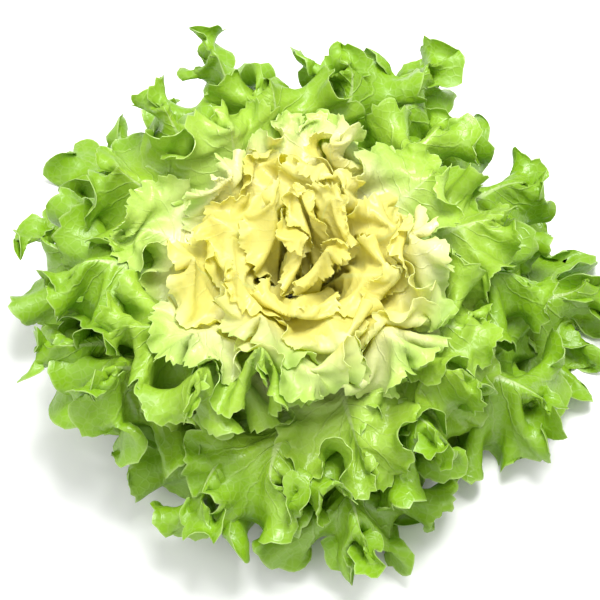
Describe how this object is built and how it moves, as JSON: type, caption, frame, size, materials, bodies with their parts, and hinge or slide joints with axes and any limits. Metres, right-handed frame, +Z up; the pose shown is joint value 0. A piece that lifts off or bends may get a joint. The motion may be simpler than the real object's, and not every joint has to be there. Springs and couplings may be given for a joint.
{
  "type": "broad-leaved curly endive head",
  "caption": "Whole head of broad-leaved curly endive: a rosette of ruffled, jagged green leaves round a pale yellow heart, on a short cut stump.",
  "frame": {"origin": "middle of the stump's cut face, on the surface that the head stands on", "axes": "+Z up through the heart of the head, -Y towards the front of the head, +X to its right"},
  "size_m": [0.3188, 0.3069, 0.1306],
  "materials": {
    "stump": "matt, pale cream cut flesh, browned at the cut",
    "outer_leaf": "satin green leaf, darker towards the margin, pale midrib",
    "middle_leaf": "satin light green leaf, pale midrib",
    "heart_leaf": "satin blanched yellow leaf, deeper yellow at the foot"
  },
  "bodies": {
    "root": {"stump": "stump", "outer_leaf_01": "outer_leaf", "outer_leaf_02": "outer_leaf", "outer_leaf_03": "outer_leaf", "outer_leaf_04": "outer_leaf", "outer_leaf_05": "outer_leaf", "outer_leaf_06": "outer_leaf", "outer_leaf_07": "outer_leaf", "outer_leaf_08": "outer_leaf", "outer_leaf_09": "outer_leaf", "outer_leaf_10": "outer_leaf", "outer_leaf_11": "outer_leaf", "outer_leaf_12": "outer_leaf", "outer_leaf_13": "outer_leaf", "outer_leaf_14": "outer_leaf", "outer_leaf_15": "outer_leaf", "outer_leaf_16": "outer_leaf", "outer_leaf_17": "outer_leaf", "outer_leaf_18": "outer_leaf", "middle_leaf_01": "middle_leaf", "middle_leaf_02": "middle_leaf", "middle_leaf_03": "middle_leaf", "middle_leaf_04": "middle_leaf", "middle_leaf_05": "middle_leaf", "middle_leaf_06": "middle_leaf", "middle_leaf_07": "middle_leaf", "middle_leaf_08": "middle_leaf", "middle_leaf_09": "middle_leaf", "middle_leaf_10": "middle_leaf", "middle_leaf_11": "middle_leaf", "middle_leaf_12": "middle_leaf", "middle_leaf_13": "middle_leaf", "middle_leaf_14": "middle_leaf", "middle_leaf_15": "middle_leaf", "middle_leaf_16": "middle_leaf", "middle_leaf_17": "middle_leaf", "middle_leaf_18": "middle_leaf", "heart_leaf_01": "heart_leaf", "heart_leaf_02": "heart_leaf", "heart_leaf_03": "heart_leaf", "heart_leaf_04": "heart_leaf", "heart_leaf_05": "heart_leaf", "heart_leaf_06": "heart_leaf", "heart_leaf_07": "heart_leaf", "heart_leaf_08": "heart_leaf", "heart_leaf_09": "heart_leaf", "heart_leaf_10": "heart_leaf", "heart_leaf_11": "heart_leaf", "heart_leaf_12": "heart_leaf", "heart_leaf_13": "heart_leaf", "heart_leaf_14": "heart_leaf", "heart_leaf_15": "heart_leaf", "heart_leaf_16": "heart_leaf", "heart_leaf_17": "heart_leaf", "heart_leaf_18": "heart_leaf"}
  },
  "joints": []
}
